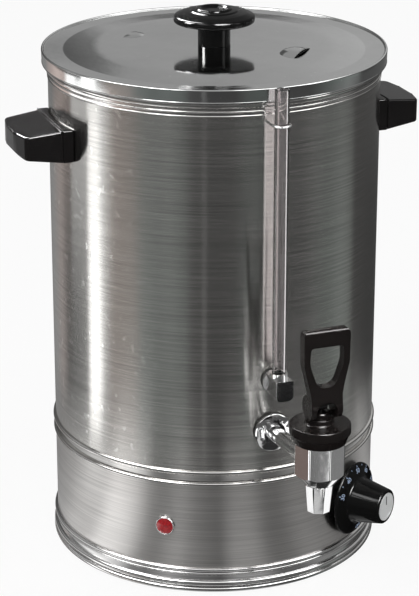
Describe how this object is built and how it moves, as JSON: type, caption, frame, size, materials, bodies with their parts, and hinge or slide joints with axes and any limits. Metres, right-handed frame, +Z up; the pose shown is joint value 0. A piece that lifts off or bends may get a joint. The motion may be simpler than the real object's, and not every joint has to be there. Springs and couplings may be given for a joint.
{
  "type": "hot water urn",
  "caption": "Round stainless hot water urn on a heated base, with lever tap, sight gauge, side handles, thermostat knob, pilot lamp and lift-off lid.",
  "frame": {"origin": "centre of the foot ring's underside, on the tank's axis", "axes": "+Z up along the tank's axis; the tap and the sight gauge face -Y; the handles lie along X"},
  "size_m": [0.3072, 0.3673, 0.4046],
  "materials": {
    "tank_steel": "brushed round the body",
    "base_steel": "satin",
    "foot_steel": "satin",
    "lid_steel": "satin",
    "inner_steel": "satin",
    "zinc_plate": "satin grey coating",
    "black_plastic": "glossy black",
    "dark_fitting": "glossy black",
    "chrome": "polished",
    "glass_tube": "clear",
    "rubber": "matt black",
    "silicone": "matt off-white",
    "seal_red": "matt",
    "brass": "machined",
    "screw_steel": "bright",
    "element_sheath": "dark",
    "ceramic": "matt",
    "ivory_plastic": "matt",
    "copper": "copper",
    "red_lens": "glossy dark red",
    "lamp_chrome": "polished",
    "knob_silver": "satin"
  },
  "bodies": {
    "urn": {"tank_shell": "tank_steel", "tank_floor": "inner_steel", "base_shell": "base_steel", "foot_ring": "foot_steel", "base_plate": "zinc_plate", "base_brackets": "inner_steel", "base_screws": "screw_steel", "heating_element": "element_sheath", "element_nuts": "brass", "element_seals": "seal_red", "element_insulators": "ceramic", "thermal_cutout": "ivory_plastic", "cutout_bracket": "inner_steel", "thermostat_body": "ivory_plastic", "thermostat_screws": "screw_steel", "thermostat_bulb": "copper", "bulb_clip": "inner_steel", "terminal_block": "ivory_plastic", "terminal_screws": "screw_steel", "lamp_bezel": "lamp_chrome", "lamp_lens": "red_lens", "lamp_body": "ivory_plastic", "lamp_nut": "screw_steel", "handle_left": "black_plastic", "handle_right": "black_plastic", "handle_screws": "screw_steel", "handle_washers": "screw_steel", "gauge_tube": "glass_tube", "gauge_elbow": "chrome", "gauge_ferrule": "chrome", "gauge_seal": "rubber", "gauge_washer_outer": "rubber", "gauge_washer_inner": "rubber", "gauge_nut": "brass", "gauge_clip": "chrome", "clip_retainers": "screw_steel", "tap_body": "chrome", "tap_washer_outer": "rubber", "tap_washer_inner": "rubber", "tap_lock_nut": "brass", "tap_bonnet": "black_plastic", "tap_gasket": "silicone", "cable_gland": "dark_fitting", "gland_cap": "dark_fitting", "gland_seal": "rubber", "gland_nut": "dark_fitting"},
    "lid": {"lid_panel": "lid_steel", "lid_knob": "black_plastic", "lid_knob_screw": "screw_steel", "lid_knob_washer": "screw_steel"},
    "stem": {"tap_stem": "dark_fitting", "tap_seat_cup": "silicone", "tap_spring": "screw_steel", "tap_pivot_pin": "chrome"},
    "lever": {"tap_lever": "black_plastic"},
    "thermostat": {"thermostat_knob": "black_plastic", "knob_insert": "knob_silver", "thermostat_spindle": "brass"}
  },
  "joints": [
    {"name": "lid_lift", "type": "slide", "parent": "urn", "child": "lid", "axis": [0, 0, 1], "range_m": [0, 0.06]},
    {"name": "tap_stem_lift", "type": "slide", "parent": "urn", "child": "stem", "axis": [0, 0, 1], "range_m": [0, 0.0042], "deforming": ["tap_spring"]},
    {"name": "tap_lever_pull", "type": "hinge", "parent": "stem", "child": "lever", "pos_m": [0, -0.207, 0.1799], "axis": [1, 0, 0], "range_deg": [0, 65], "stiffness_Nm_per_rad": 0.1, "springref_deg": -11.46},
    {"name": "thermostat_turn", "type": "hinge", "parent": "urn", "child": "thermostat", "pos_m": [0.07222, -0.09584, 0.05], "axis": [-0.6018, 0.7986, 0], "range_deg": [0, 270]}
  ],
  "couplings": [
    {"joint": "tap_lever_pull", "follows": "tap_stem_lift", "rad_per_m": 270.1}
  ]
}
